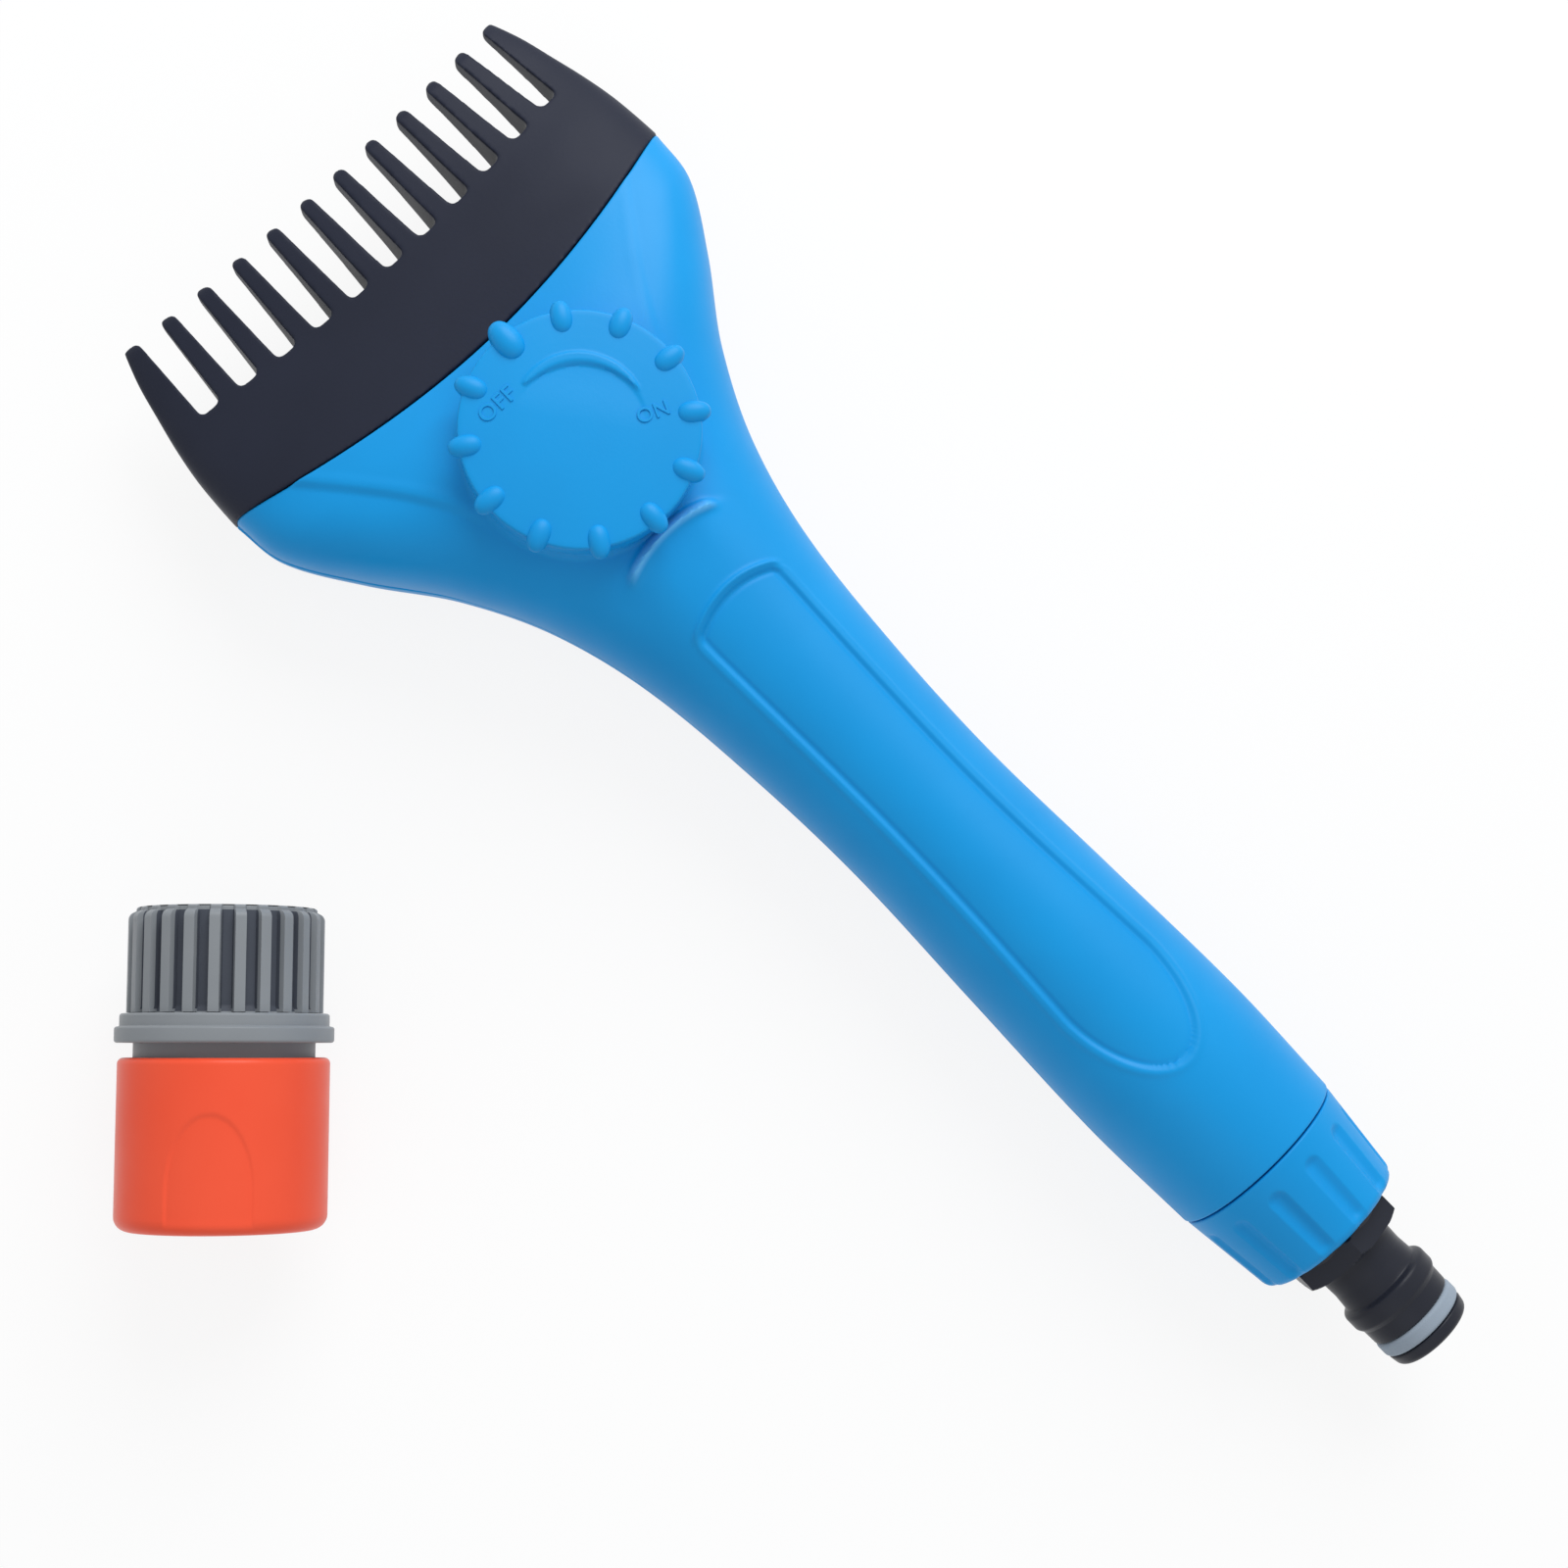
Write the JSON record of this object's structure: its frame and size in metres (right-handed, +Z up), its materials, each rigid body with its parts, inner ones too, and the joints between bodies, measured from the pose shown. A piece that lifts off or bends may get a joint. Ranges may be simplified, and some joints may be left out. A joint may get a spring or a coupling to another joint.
{
  "type": "handheld bath sprayer",
  "caption": "Hand-held wash wand with a comb-shaped spray head, a flow dial, a ribbed hose collar and a loose quick coupling.",
  "frame": {"origin": "on the surface that the back of the head lies on, under the dial's axis", "axes": "+Y toward the comb's tips, +Z up through the dial, +X to the right as seen from above with the comb away"},
  "size_m": [0.1921, 0.2736, 0.0427],
  "materials": {
    "blue_shell": "satin moulded ABS",
    "blue_dial": "satin moulded ABS",
    "comb_black": "satin moulded polypropylene",
    "nipple_black": "satin moulded acetal",
    "ring_grey": "silicone rubber",
    "pale_plastic": "natural acetal",
    "seat_plastic": "PTFE",
    "stem_plastic": "moulded acetal",
    "tube_plastic": "soft PVC",
    "seal_rubber": "nitrile rubber",
    "screw_steel": "stainless steel",
    "coupling_grey": "satin moulded ABS",
    "sleeve_orange": "satin moulded ABS"
  },
  "bodies": {
    "handle": {"upper_shell": "blue_shell", "lower_shell": "blue_shell", "shell_screws": "screw_steel", "comb": "comb_black", "comb_screws": "screw_steel", "manifold_cover": "pale_plastic", "manifold_gasket": "seal_rubber", "outlet_o_ring": "seal_rubber", "valve_housing": "pale_plastic", "valve_seat": "seat_plastic", "stem_o_ring": "seal_rubber", "valve_cap": "pale_plastic", "cap_screws": "screw_steel", "supply_tube": "tube_plastic", "hose_clamps": "screw_steel", "tail_piece": "pale_plastic", "inlet_seal": "seal_rubber"},
    "dial": {"dial": "blue_dial", "valve_stem": "stem_plastic"},
    "collar": {"end_collar": "blue_shell"},
    "nipple": {"nipple": "nipple_black", "nipple_o_ring": "ring_grey"},
    "coupling": {"coupling_body": "coupling_grey", "tap_washer": "seal_rubber", "locking_jaws": "screw_steel", "sleeve_spring": "screw_steel"},
    "sleeve": {"release_sleeve": "sleeve_orange"}
  },
  "joints": [
    {"name": "dial_turn", "type": "hinge", "parent": "handle", "child": "dial", "pos_m": [0, 0, 0.03], "axis": [0, 0, 1], "range_deg": [-35, 126]},
    {"name": "collar_turn", "type": "hinge", "parent": "handle", "child": "collar", "pos_m": [0, -0.1735, 0.017], "axis": [0, 1, 0], "range_deg": [0, 1080]},
    {"name": "nipple_draw", "type": "slide", "parent": "handle", "child": "nipple", "axis": [0, -1, 0], "range_m": [0, 0.0055]},
    {"name": "coupling_lift", "type": "slide", "parent": "handle", "child": "coupling", "axis": [0, 0, 1], "range_m": [0, 0.12]},
    {"name": "sleeve_slide", "type": "slide", "parent": "coupling", "child": "sleeve", "axis": [0.7022, 0.712, 0], "range_m": [0, 0.002], "stiffness_N_per_m": 800, "springref_m": -0.005, "deforming": ["sleeve_spring"]}
  ],
  "couplings": [
    {"joint": "nipple_draw", "follows": "collar_turn", "m_per_rad": 0.00028871}
  ]
}
